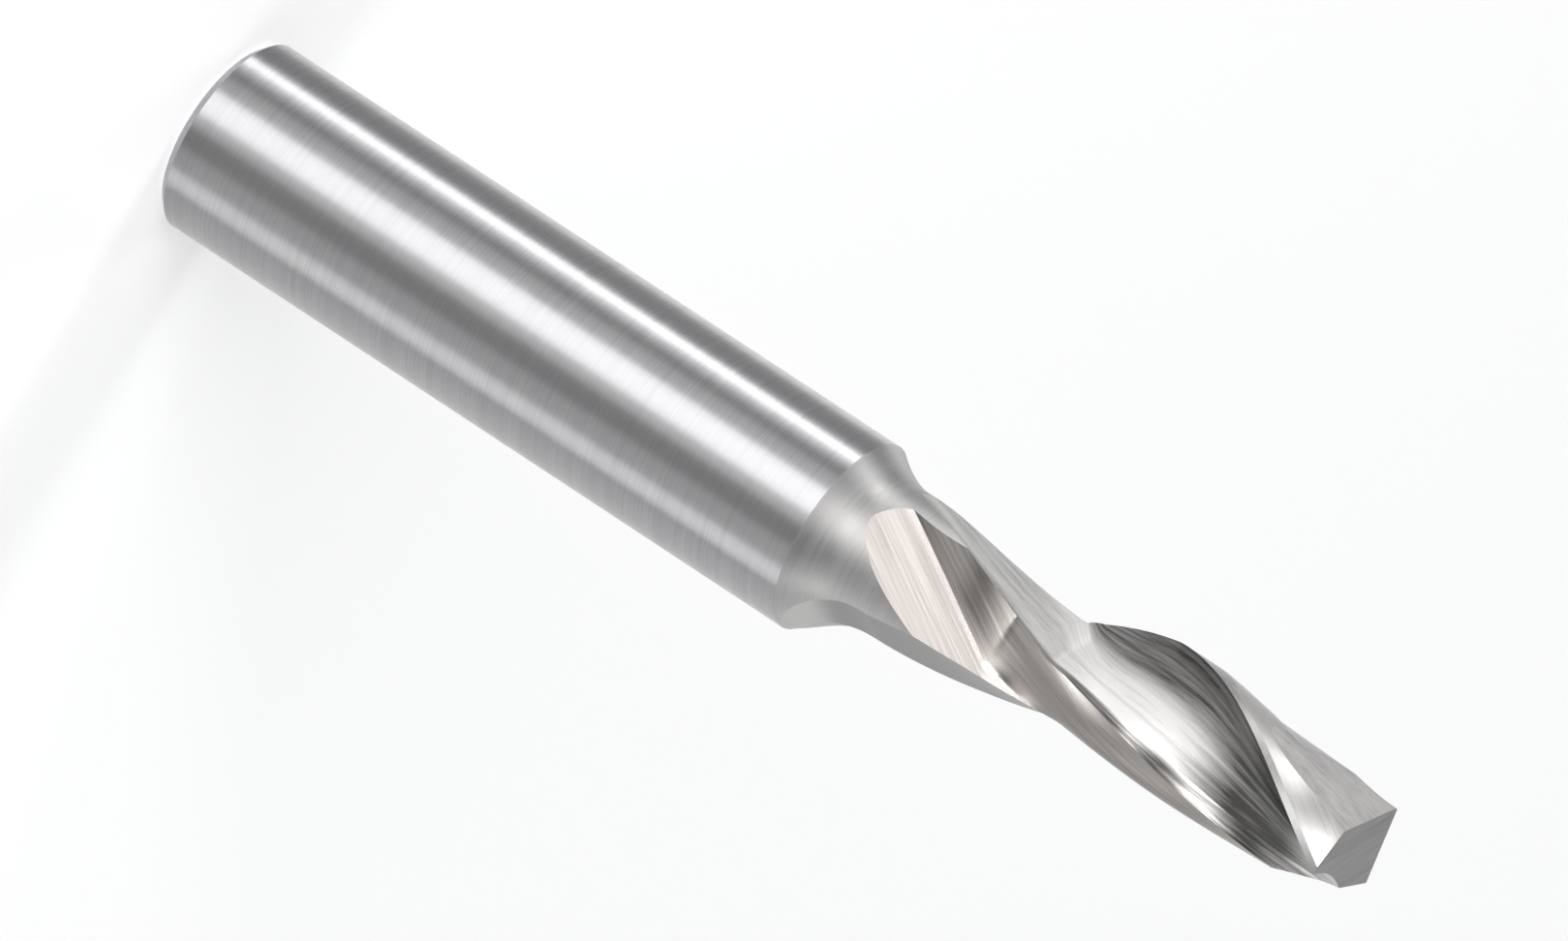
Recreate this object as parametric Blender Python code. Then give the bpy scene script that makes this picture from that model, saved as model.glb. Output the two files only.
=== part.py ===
"""A single-flute end mill, ground from one bar of high-speed steel.

It stands on its shank end, with the cutting end up. A blank is turned with a shank, a concave shoulder
and a thinner neck under the cutting part. The flute, the land's relief, the back relief and the back
groove are then ground away by sections carried along right-hand helices, as a grinding wheel is.
Depths are measured down from the tip, so the ground part moves as a whole with the tip.
Angles in a section are degrees counter-clockwise from the cutting edge, seen from the cutting end, so
the rake face lies at positive angles and the land at negative ones.
"""

import math

import bmesh
import bpy
from mathutils import Matrix, Vector

MM = 0.001

# Turned blank.
SHANK_DIAMETER = 8.0 * MM
SHANK_LENGTH = 29.5 * MM
END_CHAMFER = 0.37 * MM
SHOULDER_LENGTH = 1.9 * MM
SHOULDER_POWER = 1.7
NECK_LENGTH = 7.1 * MM
NECK_TAPER_LENGTH = 4.5 * MM
CUTTING_DIAMETER = 7.3 * MM
NECK_RELIEF = 0.5 * MM
CUTTING_LENGTH = 10.6 * MM
NECK_END = SHANK_LENGTH + SHOULDER_LENGTH + NECK_LENGTH
OVERALL_LENGTH = NECK_END + NECK_TAPER_LENGTH + CUTTING_LENGTH

# Helix of the flute and of the land.
HELIX_LEAD = 36.0 * MM
EDGE_ANGLE_AT_TIP = 283.4

# Flute: a flat floor, a side wall, and a shallow hollow from the floor's crest up to the edge. Going down,
# the crest moves out to the rim, the turn slows and the floor lifts out of the neck.
FLOOR_END_RADIUS = 0.87 * MM
FLOOR_END_ANGLE = 89.0
FLOOR_CREST_RADIUS = 1.32 * MM
FLOOR_CREST_ANGLE = 13.2
RAKE_HOLLOW = 0.16 * MM
RAKE_RIM_LEAD = 240.0 * MM
RAKE_RIM_LAG_LIMIT = 11.0
FLUTE_WALL_DIRECTION = 130.8
FLUTE_LIFT_DEPTH = 14.1 * MM
FLUTE_LIFT_SLOPE = 0.3
FLUTE_SLOW_DEPTH = 13.1 * MM
FLUTE_SLOW_LENGTH = 7.4 * MM
FLUTE_SLOW_SHARE = 0.62
FLUTE_WIDEN_DEPTH = 11.6 * MM
FLUTE_WIDEN_SCALE = 5.4 * MM
FLUTE_WIDEN_LIMIT = 2.4 * MM

# Land: a narrow round margin, a second facet that grows rounder below the tip, and an arc behind it.
# A drop is how far a point lies inside the cutting radius.
MARGIN_ANGLE = -5.0
SECOND_FACET_DROP = 0.25 * MM
SECOND_FACET_ANGLE = -32.4
SECOND_FACET_BOW = 0.2 * MM
SECOND_FACET_BOW_DEPTH = 8.2 * MM
LAND_ARC_DROP = 0.41 * MM
LAND_ARC_ANGLE = -39.0
LAND_BACK_DROP = 0.65 * MM
LAND_BACK_ANGLE = -112.0

# Back relief: two flats from one corner, each on its own slower helix, which thin the tooth behind the
# land and run out over the shoulder.
BACK_LEAD = 44.4 * MM
BACK_REFERENCE_DEPTH = 16.6 * MM
BACK_CORNER_DROP = 1.19 * MM
BACK_CORNER_ANGLE = -78.4
BACK_CORNER_GROWTH = 0.415 * MM
BACK_OUTER_DIRECTION = 13.6
BACK_INNER_DIRECTION = 103.8
BACK_INNER_LEAD = 42.1 * MM
BACK_INNER_SLOW_DEPTH = 12.6 * MM
BACK_INNER_SLOW_LENGTH = 8.0 * MM
BACK_INNER_SLOW_SHARE = 0.608
BACK_EXIT_LENGTH = 3.5 * MM
BACK_EXIT_RISE = 1.75 * MM
BACK_EXIT_POWER = 2.6

# Back groove: a root between the web's rounded back and an open wall. Going down the neck the web's back
# flattens, and below that the section stops turning and leaves across the neck in a straight line.
WEB_START_RADIUS = 1.39 * MM
WEB_START_ANGLE = 105.9
WEB_BULGE = 0.66 * MM
WEB_FULL_DEPTH = 11.1 * MM
WEB_TIP_SHIFT = 0.35 * MM
WEB_TIP_DIRECTION = 158.0
WEB_TIP_SHIFT_DEPTH = 6.6 * MM
GROOVE_ROOT_RADIUS = 1.38 * MM
GROOVE_ROOT_ANGLE = 196.0
GROOVE_WALL_DIRECTION = 213.7
GROOVE_EXIT_DEPTH = 16.0 * MM
GROOVE_EXIT_ROOT_RADIUS = 1.764 * MM
GROOVE_EXIT_ROOT_ANGLE = 179.2
GROOVE_EXIT_FLOOR_WIDTH = 2.4 * MM
GROOVE_EXIT_FLOOR_DIRECTION = 57.0
GROOVE_EXIT_LEAD = 65.5 * MM
GROOVE_EXIT_SLOPE = 0.6
GROOVE_EXIT_SIDE_SLOPE = 0.1145
GROOVE_END_ABOVE_SHANK = 1.5 * MM

# Tip: a flat on the heel, a gash across the web and the end relief.
HEEL_FLAT_FRONT_DROP = 0.27 * MM
HEEL_FLAT_FRONT_ANGLE = -32.5
HEEL_FLAT_BACK_DROP = 0.82 * MM
HEEL_FLAT_BACK_ANGLE = -105.7
HEEL_FLAT_TILT = 12.0
GASH_DEPTH = 0.60 * MM
GASH_TURN = 4.3
GASH_TILT = 16.7
END_RELIEF = 0.6

# Outside the blank: how far the cutters reach, and the directions in which they close there.
OUTSIDE = 5.4 * MM
FAR_OUTSIDE = 8.1 * MM
PAST_MARGIN_DIRECTION = 25.0
PAST_WEB_ANGLE = 85.9
PAST_GROOVE_ANGLE = 160.0
OVERRUN = 0.6 * MM

# Fineness of the surfaces.
ROUND_STEPS = 96
STATION_STEP = 0.27 * MM
SHOULDER_STEPS = 10
LAND_ARC_STEPS = 7
RAKE_POINTS = 5
FACET_POINTS = 4
WEB_POINTS = 9
LINE_SHARES = (0.15, 0.3, 0.45, 0.6, 1.0)
MERGE_DISTANCE = 0.001 * MM
SHARP_ANGLE = 25.0
RIGHT_ANGLE = 90.0

STEEL_COLOUR = (0.42, 0.42, 0.43, 1.0)
STEEL_ROUGHNESS = 0.28


def clear_scene():
    for old in list(bpy.data.objects):
        bpy.data.objects.remove(old, do_unlink=True)


def new_collection(name):
    collection = bpy.data.collections.new(name)
    bpy.context.scene.collection.children.link(collection)
    return collection


def ground_steel():
    material = bpy.data.materials.new("ground_steel")
    material.use_nodes = True
    shader = material.node_tree.nodes["Principled BSDF"]
    shader.inputs["Base Color"].default_value = STEEL_COLOUR
    shader.inputs["Metallic"].default_value = 1.0
    shader.inputs["Roughness"].default_value = STEEL_ROUGHNESS
    return material


def polar(radius, degrees):
    angle = math.radians(degrees)
    return Vector((radius * math.cos(angle), radius * math.sin(angle), 0.0))


def dropped(drop, degrees):
    """A point that lies a drop inside the cutting radius."""
    return polar(CUTTING_DIAMETER / 2 - drop, degrees)


def ray(start, degrees):
    """Points along a straight line from start, close together inside the blank, out to its outside."""
    return [start + polar(OUTSIDE * share, degrees) for share in LINE_SHARES]


def bowed(start, end, bow, count):
    """Points from start to end on a parabola that bows to the left of that direction."""
    along = end - start
    left = Vector((-along.y, along.x, 0.0)).normalized()
    shares = [i / (count + 1) for i in range(1, count + 1)]
    return [start, *[start + along * t + left * (4 * bow * t * (1 - t)) for t in shares], end]


def turned(height):
    """A section's place on the edge's helix: at a height, turned about the axis."""
    turn = math.radians(EDGE_ANGLE_AT_TIP) + 2 * math.pi * (height - OVERALL_LENGTH) / HELIX_LEAD
    return Matrix.Translation((0.0, 0.0, height)) @ Matrix.Rotation(turn, 4, "Z")


def heights(start, end):
    """Evenly spaced heights from start to end, no further apart than STATION_STEP."""
    count = math.ceil(abs(end - start) / STATION_STEP)
    return [start + (end - start) * i / count for i in range(count + 1)]


def below(height, depth):
    """How far a height lies below the level at a depth under the tip, or 0 above that level."""
    return max(OVERALL_LENGTH - depth - height, 0.0)


def slowed_height(height, depth, length, share):
    """The height whose turn a section has: under a depth it keeps a share of its turn, falling to none."""
    fall = min(below(height, depth), length)
    return max(height, OVERALL_LENGTH - depth) - share * (fall - fall**2 / (2 * length))


def smooth_step(value):
    return value * value * (3 - 2 * value)


def blank_profile():
    """Radius and height down the outer side of the blank, from the tip to the shank end."""
    shank = SHANK_DIAMETER / 2
    cutting = CUTTING_DIAMETER / 2
    neck = cutting - NECK_RELIEF
    top = OVERALL_LENGTH + OVERRUN
    shoulder_end = SHANK_LENGTH + SHOULDER_LENGTH
    points = [(0.0, top), (cutting, top), (cutting, OVERALL_LENGTH - CUTTING_LENGTH), (neck, NECK_END)]
    for step in range(SHOULDER_STEPS):
        share = step / (SHOULDER_STEPS - 1)
        radius = neck + (shank - neck) * share**SHOULDER_POWER
        points.append((radius, shoulder_end - SHOULDER_LENGTH * share))
    points.append((shank, END_CHAMFER))
    points.append((shank - END_CHAMFER, 0.0))
    points.append((0.0, 0.0))
    return points


def turned_blank(collection, material):
    mesh = bpy.data.meshes.new("endmill")
    bm = bmesh.new()
    line = [bm.verts.new((radius, 0.0, height)) for radius, height in blank_profile()]
    edges = [bm.edges.new(pair) for pair in zip(line, line[1:])]
    turn = {"axis": (0.0, 0.0, 1.0), "angle": 2 * math.pi, "steps": ROUND_STEPS, "use_merge": True}
    bmesh.ops.spin(bm, geom=[*line, *edges], **turn)
    bmesh.ops.remove_doubles(bm, verts=bm.verts, dist=MERGE_DISTANCE)
    bmesh.ops.recalc_face_normals(bm, faces=bm.faces)
    bm.to_mesh(mesh)
    bm.free()
    mesh.shade_smooth()
    mesh.set_sharp_from_angle(angle=math.radians(SHARP_ANGLE))
    mesh.materials.append(material)
    blank = bpy.data.objects.new("endmill", mesh)
    collection.objects.link(blank)
    return blank


def as_cutter(name, mesh, collection):
    cutter = bpy.data.objects.new(name, mesh)
    cutter.display_type = "WIRE"
    cutter.hide_render = True
    collection.objects.link(cutter)
    return cutter


def lofted(name, rings, collection):
    """A cutter lofted through rings that change shape, capped at both ends."""
    mesh = bpy.data.meshes.new(name)
    bm = bmesh.new()
    loops = [[bm.verts.new(point) for point in ring] for ring in rings]
    for upper, lower in zip(loops, loops[1:]):
        for here in range(len(upper)):
            bm.faces.new((upper[here], upper[here - 1], lower[here - 1], lower[here]))
    for end in (loops[0], loops[-1]):
        bm.faces.new(end)
    bmesh.ops.recalc_face_normals(bm, faces=bm.faces)
    bm.to_mesh(mesh)
    bm.free()
    return as_cutter(name, mesh, collection)


def flute_turn_height(height):
    return slowed_height(height, FLUTE_SLOW_DEPTH, FLUTE_SLOW_LENGTH, FLUTE_SLOW_SHARE)


def rim_angle(height):
    """Where the rake meets the rim, from the floor's own turn: the rim keeps close to the edge's helix."""
    lag = 360.0 * (flute_turn_height(height) - height) / HELIX_LEAD
    ahead = 360.0 * below(height, CUTTING_LENGTH) / RAKE_RIM_LEAD
    return max(ahead - lag, -RAKE_RIM_LAG_LIMIT)


def flute_outline(height):
    """The flute's section: going down, its crest moves out to the rim and its floor rises."""
    crest = polar(FLOOR_CREST_RADIUS, FLOOR_CREST_ANGLE)
    floor_end = polar(FLOOR_END_RADIUS, FLOOR_END_ANGLE)
    floor = (floor_end - crest).normalized()
    widening = min(below(height, FLUTE_WIDEN_DEPTH) ** 2 / FLUTE_WIDEN_SCALE, FLUTE_WIDEN_LIMIT)
    crest -= floor * widening
    edge = polar(CUTTING_DIAMETER / 2, rim_angle(height))
    past_edge = edge + (edge - crest).normalized() * (OUTSIDE / 2)
    hollow = RAKE_HOLLOW * (1 - widening / FLUTE_WIDEN_LIMIT)
    middle = (crest + floor_end) / 2
    wall = ray(floor_end, FLUTE_WALL_DIRECTION)
    over = Vector((past_edge.x, wall[-1].y, 0.0))
    lift = Vector((floor.y, -floor.x, 0.0)) * (FLUTE_LIFT_SLOPE * below(height, FLUTE_LIFT_DEPTH))
    outline = [past_edge, *bowed(edge, crest, hollow, RAKE_POINTS), middle, floor_end, *wall, over]
    return [point + lift for point in outline]


def flute_cutter(collection):
    rings = []
    for height in heights(OVERALL_LENGTH + 2 * OVERRUN, SHANK_LENGTH + SHOULDER_LENGTH):
        turn_height = flute_turn_height(height)
        place = Matrix.Translation((0.0, 0.0, height - turn_height)) @ turned(turn_height)
        rings.append([place @ point for point in flute_outline(height)])
    return lofted("flute", rings, collection)


def land_outline(height):
    """What is ground off outside the land: the outline of the facet and the arc, then the outside."""
    margin_end = polar(CUTTING_DIAMETER / 2, MARGIN_ANGLE)
    facet_end = dropped(SECOND_FACET_DROP, SECOND_FACET_ANGLE)
    depth = max(OVERALL_LENGTH - height, 0.0)
    bow = SECOND_FACET_BOW * min(depth / SECOND_FACET_BOW_DEPTH, 1.0)
    fall = LAND_BACK_DROP - LAND_ARC_DROP
    sweep = LAND_BACK_ANGLE - LAND_ARC_ANGLE
    shares = [step / LAND_ARC_STEPS for step in range(LAND_ARC_STEPS + 1)]
    arc = [dropped(LAND_ARC_DROP + fall * share, LAND_ARC_ANGLE + sweep * share) for share in shares]
    outer = [polar(OUTSIDE, LAND_BACK_ANGLE - sweep * share) for share in (0.0, 0.5, 1.0)]
    past_margin = margin_end + polar(OUTSIDE / 3, PAST_MARGIN_DIRECTION)
    return [*bowed(margin_end, facet_end, bow, FACET_POINTS), *arc, *outer, past_margin]


def land_cutter(collection):
    rings = []
    for height in heights(OVERALL_LENGTH + 2 * OVERRUN, NECK_END):
        rings.append([turned(height) @ point for point in land_outline(height)])
    return lofted("land_relief", rings, collection)


def exit_rise(height):
    """How far a back relief has lifted out of the neck at a height near the shoulder."""
    share = max(SHANK_LENGTH + BACK_EXIT_LENGTH - height, 0.0) / BACK_EXIT_LENGTH
    return BACK_EXIT_RISE * share**BACK_EXIT_POWER


def back_turn(height):
    """The turn in degrees of the outer back flat, which stops where that flat starts to lift out."""
    from_reference = max(height, SHANK_LENGTH + BACK_EXIT_LENGTH) - OVERALL_LENGTH + BACK_REFERENCE_DEPTH
    at_reference = EDGE_ANGLE_AT_TIP - 360.0 * BACK_REFERENCE_DEPTH / HELIX_LEAD
    return at_reference + 360.0 * from_reference / BACK_LEAD


def back_flat_ring(height, direction, side):
    """A back flat's section: its line through the corner, and all that lies on its outer side."""
    growth = BACK_CORNER_GROWTH * max(1 - (OVERALL_LENGTH - height) / BACK_REFERENCE_DEPTH, 0.0)
    corner = dropped(BACK_CORNER_DROP - growth, back_turn(height) + BACK_CORNER_ANGLE)
    corner.z = height
    lift = direction + side * RIGHT_ANGLE
    before = corner + polar(OUTSIDE / 2, direction + 180.0)
    after = ray(corner, direction)
    outline = [before, corner, *after, after[-1] + polar(OUTSIDE, lift), before + polar(OUTSIDE, lift)]
    rise = polar(exit_rise(height), lift)
    return [point + rise for point in outline]


def outer_back_cutter(collection):
    rings = []
    for height in heights(OVERALL_LENGTH + 2 * OVERRUN, SHANK_LENGTH):
        rings.append(back_flat_ring(height, back_turn(height) + BACK_OUTER_DIRECTION, -1))
    return lofted("outer_back_relief", rings, collection)


def inner_back_cutter(collection):
    rings = []
    for height in heights(OVERALL_LENGTH + 2 * OVERRUN, SHANK_LENGTH):
        slowed = slowed_height(height, BACK_INNER_SLOW_DEPTH, BACK_INNER_SLOW_LENGTH, BACK_INNER_SLOW_SHARE)
        turn = EDGE_ANGLE_AT_TIP + 360.0 * (slowed - OVERALL_LENGTH) / BACK_INNER_LEAD
        rings.append(back_flat_ring(height, turn + BACK_INNER_DIRECTION, 1))
    return lofted("inner_back_relief", rings, collection)


def groove_outline(height):
    """The back groove's section at a height: from the root over the web's back, then the open wall."""
    fall = below(height, GROOVE_EXIT_DEPTH)
    rise = 1 - below(height, WEB_FULL_DEPTH) / (GROOVE_EXIT_DEPTH - WEB_FULL_DEPTH)
    share = smooth_step(max(rise, 0.0))
    exit_root = polar(GROOVE_EXIT_ROOT_RADIUS, GROOVE_EXIT_ROOT_ANGLE)
    root = exit_root.lerp(polar(GROOVE_ROOT_RADIUS, GROOVE_ROOT_ANGLE), share)
    floor_direction = GROOVE_EXIT_FLOOR_DIRECTION + 360.0 * fall / GROOVE_EXIT_LEAD
    floor = polar(GROOVE_EXIT_FLOOR_WIDTH, floor_direction)
    start = (root + floor).lerp(polar(WEB_START_RADIUS, WEB_START_ANGLE), share)
    before = start + (start - root).normalized() * OVERRUN
    web = bowed(root, start, WEB_BULGE * share, WEB_POINTS)
    wall = ray(root, GROOVE_WALL_DIRECTION)
    over = [polar(OUTSIDE, PAST_WEB_ANGLE), polar(FAR_OUTSIDE, PAST_GROOVE_ANGLE)]
    tip = max(1 - (OVERALL_LENGTH - height) / WEB_TIP_SHIFT_DEPTH, 0.0)
    shift = polar(WEB_TIP_SHIFT * tip**2, WEB_TIP_DIRECTION)
    return [point + shift for point in [*web, before, *over, *reversed(wall)]]


def groove_cutter(collection):
    rings = []
    for height in heights(OVERALL_LENGTH + 2 * OVERRUN, SHANK_LENGTH + GROOVE_END_ABOVE_SHANK):
        fall = below(height, GROOVE_EXIT_DEPTH)
        place = turned(height + fall)
        step = Vector((-GROOVE_EXIT_SLOPE * fall, -GROOVE_EXIT_SIDE_SLOPE * fall, -fall))
        rings.append([place @ point + step for point in groove_outline(height)])
    return lofted("back_groove", rings, collection)


def flat_cutter(name, place, collection):
    """A square slab whose lower face is the plane that grinds a flat; the place gives that face."""
    mesh = bpy.data.meshes.new(name)
    bm = bmesh.new()
    bmesh.ops.create_cube(bm, size=2 * OUTSIDE)
    bmesh.ops.transform(bm, matrix=place @ Matrix.Translation((0.0, 0.0, OUTSIDE)), verts=bm.verts)
    bm.to_mesh(mesh)
    bm.free()
    return as_cutter(name, mesh, collection)


def facing(point, normal, spin_about=Vector((0.0, 0.0, 1.0))):
    """A place at a point whose local z is the normal."""
    side = spin_about.cross(normal).normalized()
    up = normal.cross(side)
    axes = Matrix((side, up, normal)).transposed().to_4x4()
    return Matrix.Translation(point) @ axes


def heel_flat_cutter(collection):
    tip = turned(OVERALL_LENGTH)
    front = tip @ dropped(HEEL_FLAT_FRONT_DROP, HEEL_FLAT_FRONT_ANGLE)
    back = tip @ dropped(HEEL_FLAT_BACK_DROP, HEEL_FLAT_BACK_ANGLE)
    along = (back - front).normalized()
    outward = along.cross(Vector((0.0, 0.0, 1.0)))
    if outward.dot(front - Vector((0.0, 0.0, OVERALL_LENGTH))) < 0:
        outward.negate()
    tilt = math.radians(HEEL_FLAT_TILT)
    normal = outward * math.cos(tilt) + Vector((0.0, 0.0, math.sin(tilt)))
    return flat_cutter("heel_flat", facing((front + back) / 2, normal), collection)


def gash_cutter(collection):
    tip = turned(OVERALL_LENGTH)
    edge = (tip.to_3x3() @ polar(1.0, GASH_TURN)).normalized()
    outward = Vector((-edge.y, edge.x, 0.0))
    tilt = math.radians(GASH_TILT)
    normal = outward * math.cos(tilt) + Vector((0.0, 0.0, math.sin(tilt)))
    point = Vector((0.0, 0.0, OVERALL_LENGTH)) + outward * GASH_DEPTH
    return flat_cutter("gash", facing(point, normal), collection)


def end_cutter(collection):
    tip = turned(OVERALL_LENGTH)
    across = (tip.to_3x3() @ polar(1.0, -RIGHT_ANGLE)).normalized()
    tilt = math.radians(END_RELIEF)
    normal = across * math.sin(tilt) + Vector((0.0, 0.0, math.cos(tilt)))
    side = (tip.to_3x3() @ polar(1.0, 0.0)).normalized()
    return flat_cutter("end_face", facing(Vector((0.0, 0.0, OVERALL_LENGTH)), normal, side), collection)


def grind(part, cutter):
    cut = part.modifiers.new(cutter.name, "BOOLEAN")
    cut.operation = "DIFFERENCE"
    cut.solver = "EXACT"
    cut.object = cutter


def main():
    clear_scene()
    parts = new_collection("endmill")
    cutters = new_collection("endmill_cutters")
    blank = turned_blank(parts, ground_steel())
    for make_cutter in (
        end_cutter,
        heel_flat_cutter,
        gash_cutter,
        land_cutter,
        outer_back_cutter,
        inner_back_cutter,
        flute_cutter,
        groove_cutter,
    ):
        grind(blank, make_cutter(cutters))


main()
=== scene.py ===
"""Looks of the end mill: its ground shape, its steel finishes, the floor, the lamps and the camera.

The end mill stands on its shank end, with the cutting end up. Its shape is made as the solid is, from
the same sizes but with finer facets: a turned blank, then sections carried along right-hand helices
that grind the flute, the land, the back and the groove away.
Depths are measured down from the tip. Angles in a section are degrees counter-clockwise from the
cutting edge, seen from the cutting end, so the rake face lies at positive angles and the land at
negative ones.
"""

import math

import bmesh
import bpy
from mathutils import Matrix, Vector


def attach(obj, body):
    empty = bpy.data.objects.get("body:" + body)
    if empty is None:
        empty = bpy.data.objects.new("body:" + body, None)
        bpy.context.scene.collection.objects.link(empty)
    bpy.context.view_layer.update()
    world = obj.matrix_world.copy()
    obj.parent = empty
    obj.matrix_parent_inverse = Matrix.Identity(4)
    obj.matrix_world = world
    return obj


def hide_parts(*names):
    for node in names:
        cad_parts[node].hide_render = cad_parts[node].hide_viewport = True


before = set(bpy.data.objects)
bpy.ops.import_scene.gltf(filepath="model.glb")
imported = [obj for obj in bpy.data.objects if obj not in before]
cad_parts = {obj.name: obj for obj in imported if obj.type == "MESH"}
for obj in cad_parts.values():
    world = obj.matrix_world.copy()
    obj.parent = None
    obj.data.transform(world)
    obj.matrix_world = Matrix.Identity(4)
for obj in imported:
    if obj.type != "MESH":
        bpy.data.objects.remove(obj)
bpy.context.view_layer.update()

MM = 0.001
FULL_TURN = 360.0
RIGHT_ANGLE = 90.0
UP = Vector((0.0, 0.0, 1.0))

# Turned blank.
SHANK_DIAMETER = 8.0 * MM
SHANK_LENGTH = 29.5 * MM
END_CHAMFER = 0.37 * MM
SHOULDER_LENGTH = 1.9 * MM
SHOULDER_POWER = 1.7
NECK_LENGTH = 7.1 * MM
NECK_TAPER_LENGTH = 4.5 * MM
CUTTING_DIAMETER = 7.3 * MM
NECK_RELIEF = 0.5 * MM
CUTTING_LENGTH = 10.6 * MM
NECK_END = SHANK_LENGTH + SHOULDER_LENGTH + NECK_LENGTH
OVERALL_LENGTH = NECK_END + NECK_TAPER_LENGTH + CUTTING_LENGTH

# Helix of the flute and of the land.
HELIX_LEAD = 36.0 * MM
EDGE_ANGLE_AT_TIP = 283.4

# Flute: a flat floor, a side wall, and a shallow hollow from the floor's crest up to the edge. Going
# down, the crest moves out to the rim, the turn slows and the floor lifts out of the neck.
FLOOR_END_RADIUS = 0.87 * MM
FLOOR_END_ANGLE = 89.0
FLOOR_CREST_RADIUS = 1.32 * MM
FLOOR_CREST_ANGLE = 13.2
RAKE_HOLLOW = 0.16 * MM
RAKE_RIM_LEAD = 240.0 * MM
RAKE_RIM_LAG_LIMIT = 11.0
FLUTE_WALL_DIRECTION = 130.8
FLUTE_LIFT_DEPTH = 14.1 * MM
FLUTE_LIFT_SLOPE = 0.3
FLUTE_SLOW_DEPTH = 13.1 * MM
FLUTE_SLOW_LENGTH = 7.4 * MM
FLUTE_SLOW_SHARE = 0.62
FLUTE_WIDEN_DEPTH = 11.6 * MM
FLUTE_WIDEN_SCALE = 5.4 * MM
FLUTE_WIDEN_LIMIT = 2.4 * MM

# Land: a narrow round margin, a second facet that grows rounder below the tip, and an arc behind it.
# A drop is how far a point lies inside the cutting radius.
MARGIN_ANGLE = -5.0
SECOND_FACET_DROP = 0.25 * MM
SECOND_FACET_ANGLE = -32.4
SECOND_FACET_BOW = 0.2 * MM
SECOND_FACET_BOW_DEPTH = 8.2 * MM
LAND_ARC_DROP = 0.41 * MM
LAND_ARC_ANGLE = -39.0
LAND_BACK_DROP = 0.65 * MM
LAND_BACK_ANGLE = -112.0

# Back relief: two flats from one corner, each on its own slower helix, which thin the tooth behind
# the land and run out over the shoulder.
BACK_LEAD = 44.4 * MM
BACK_REFERENCE_DEPTH = 16.6 * MM
BACK_CORNER_DROP = 1.19 * MM
BACK_CORNER_ANGLE = -78.4
BACK_CORNER_GROWTH = 0.415 * MM
BACK_OUTER_DIRECTION = 13.6
BACK_INNER_DIRECTION = 103.8
BACK_INNER_LEAD = 42.1 * MM
BACK_INNER_SLOW_DEPTH = 12.6 * MM
BACK_INNER_SLOW_LENGTH = 8.0 * MM
BACK_INNER_SLOW_SHARE = 0.608
BACK_EXIT_LENGTH = 3.5 * MM
BACK_EXIT_RISE = 1.75 * MM
BACK_EXIT_POWER = 2.6

# Back groove: a root between the web's rounded back and an open wall. Going down the neck the web's
# back flattens, and below that the section stops turning and leaves straight across the neck.
WEB_START_RADIUS = 1.39 * MM
WEB_START_ANGLE = 105.9
WEB_BULGE = 0.66 * MM
WEB_FULL_DEPTH = 11.1 * MM
WEB_TIP_SHIFT = 0.35 * MM
WEB_TIP_DIRECTION = 158.0
WEB_TIP_SHIFT_DEPTH = 6.6 * MM
GROOVE_ROOT_RADIUS = 1.38 * MM
GROOVE_ROOT_ANGLE = 196.0
GROOVE_WALL_DIRECTION = 213.7
GROOVE_EXIT_DEPTH = 16.0 * MM
GROOVE_EXIT_ROOT_RADIUS = 1.764 * MM
GROOVE_EXIT_ROOT_ANGLE = 179.2
GROOVE_EXIT_FLOOR_WIDTH = 2.4 * MM
GROOVE_EXIT_FLOOR_DIRECTION = 57.0
GROOVE_EXIT_LEAD = 65.5 * MM
GROOVE_EXIT_SLOPE = 0.6
GROOVE_EXIT_SIDE_SLOPE = 0.1145
GROOVE_END_ABOVE_SHANK = 1.5 * MM

# Tip: a flat on the heel, a gash across the web and the end relief.
HEEL_FLAT_FRONT_DROP = 0.27 * MM
HEEL_FLAT_FRONT_ANGLE = -32.5
HEEL_FLAT_BACK_DROP = 0.82 * MM
HEEL_FLAT_BACK_ANGLE = -105.7
HEEL_FLAT_TILT = 12.0
GASH_DEPTH = 0.60 * MM
GASH_TURN = 4.3
GASH_TILT = 16.7
END_RELIEF = 0.6

# Outside the blank: how far the cutters reach, and where they close there. They start above the tip.
OUTSIDE = 5.4 * MM
FAR_OUTSIDE = 8.1 * MM
PAST_EDGE = OUTSIDE / 2
PAST_MARGIN = OUTSIDE / 3
PAST_MARGIN_DIRECTION = 25.0
PAST_WEB_ANGLE = 85.9
PAST_GROOVE_ANGLE = 160.0
OVERRUN = 0.6 * MM
CUT_START = OVERALL_LENGTH + 2 * OVERRUN

# Fineness of the surfaces. A straight line that leaves the blank has points a twentieth of its length
# apart while it is inside, and then one at its end.
ROUND_STEPS = 240
STATION_STEP = 0.13 * MM
SHOULDER_STEPS = 24
LAND_ARC_STEPS = 20
RAKE_POINTS = 14
FACET_POINTS = 9
WEB_POINTS = 36
LINE_PARTS = 20
LINE_PARTS_INSIDE = 13
LINE_SHARES = [part / LINE_PARTS for part in range(1, LINE_PARTS_INSIDE + 1)] + [1.0]
MERGE_DISTANCE = 0.001 * MM

# Edges are sharp from these angles in degrees: inside one finish, and between two of them.
SHARP_ANGLE = 25.0
FINISH_SHARP_ANGLE = 3.0

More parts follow.
